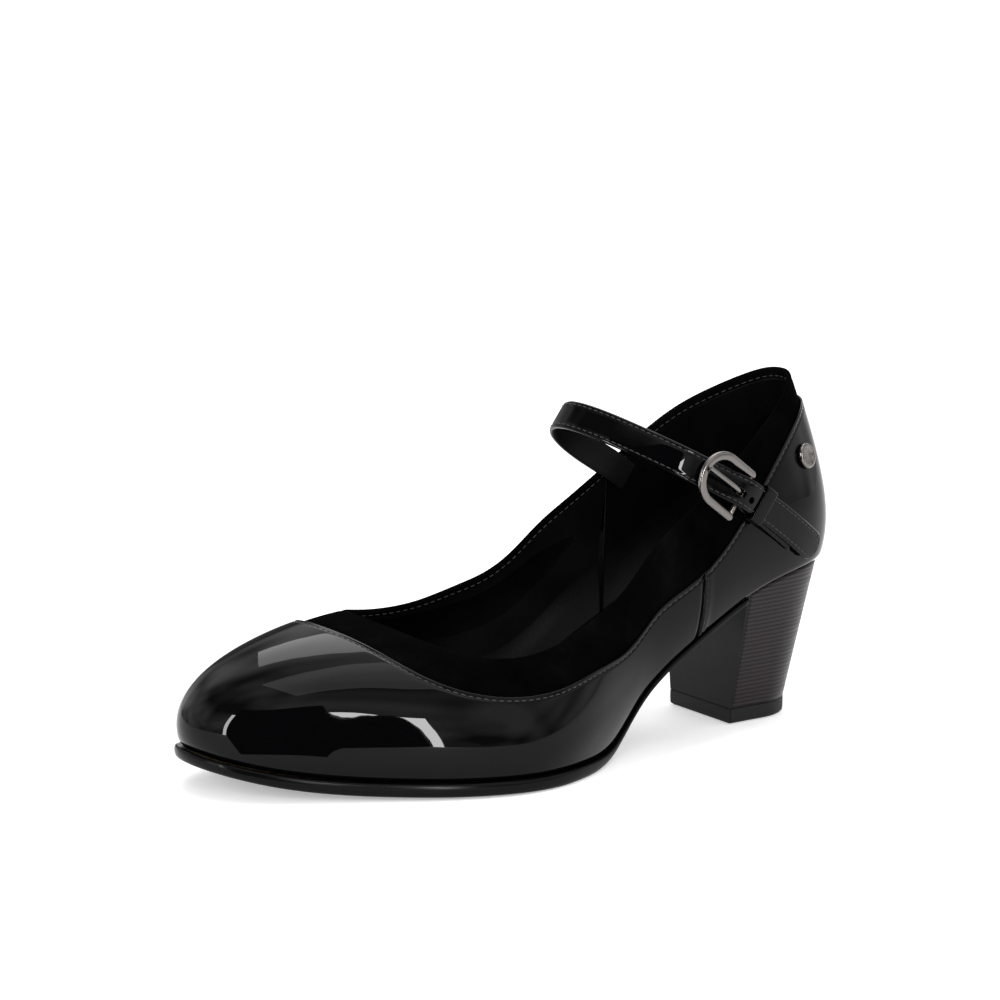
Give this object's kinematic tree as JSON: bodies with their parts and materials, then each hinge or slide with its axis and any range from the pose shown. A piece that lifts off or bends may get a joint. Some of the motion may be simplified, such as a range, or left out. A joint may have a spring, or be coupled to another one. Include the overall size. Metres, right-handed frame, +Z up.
{
  "type": "tap shoe",
  "caption": "Left dress shoe with a rounded toe, a block heel and a buckled instep strap, in patent leather with a suede collar.",
  "frame": {"origin": "on the floor, under the middle of the shoe's outline", "axes": "+X towards the toe, +Y towards the outer side of the foot, +Z up"},
  "size_m": [0.2417, 0.0877, 0.1212],
  "materials": {
    "patent": "glossy patent",
    "suede": "matt suede",
    "lining": "satin",
    "sole_leather": "painted edge",
    "stacked": "stacked-look wrap",
    "board": "matt fibreboard",
    "foam": "foam",
    "heel_plastic": "moulded",
    "top_rubber": "matt",
    "steel": "plain",
    "gunmetal": "polished dark metal"
  },
  "bodies": {
    "shoe": {"outsole": "sole_leather", "bottom_filler": "board", "shank": "steel", "insole_board": "board", "heel_pad": "foam", "sock_lining": "lining", "heel_block": "heel_plastic", "heel_wrap": "stacked", "breast_cover": "sole_leather", "top_piece": "top_rubber", "top_piece_pins": "steel", "heel_screw": "steel", "heel_nails": "steel", "vamp": "patent", "quarter": "patent", "collar": "suede", "toe_puff": "board", "heel_counter": "board", "side_backers": "board", "vamp_lining": "lining", "quarter_lining": "lining", "strap_anchor": "patent", "chape": "patent", "stud_cap": "gunmetal", "stud_post": "steel"},
    "strap": {"strap": "patent"},
    "keeper": {"keeper": "patent"},
    "buckle_frame": {"buckle_frame": "gunmetal"},
    "buckle_prong": {"buckle_prong": "gunmetal"}
  },
  "joints": [
    {"name": "strap_opening", "type": "hinge", "parent": "shoe", "child": "strap", "pos_m": [-0.04425, -0.0273, 0.09263], "axis": [0.5878, 0, -0.809], "range_deg": [0, 70], "deforming": ["strap"]},
    {"name": "keeper_slide", "type": "slide", "parent": "shoe", "child": "keeper", "axis": [0.809, 0, 0.5878], "range_m": [-0.003, 0.001]},
    {"name": "buckle_swing", "type": "hinge", "parent": "shoe", "child": "buckle_frame", "pos_m": [-0.06523, 0.02801, 0.08383], "axis": [-0.5878, 0, 0.809], "range_deg": [0, 60]},
    {"name": "prong_swing", "type": "hinge", "parent": "buckle_frame", "child": "buckle_prong", "pos_m": [-0.06523, 0.02801, 0.08383], "axis": [-0.5878, 0, 0.809], "range_deg": [0, 40]}
  ]
}
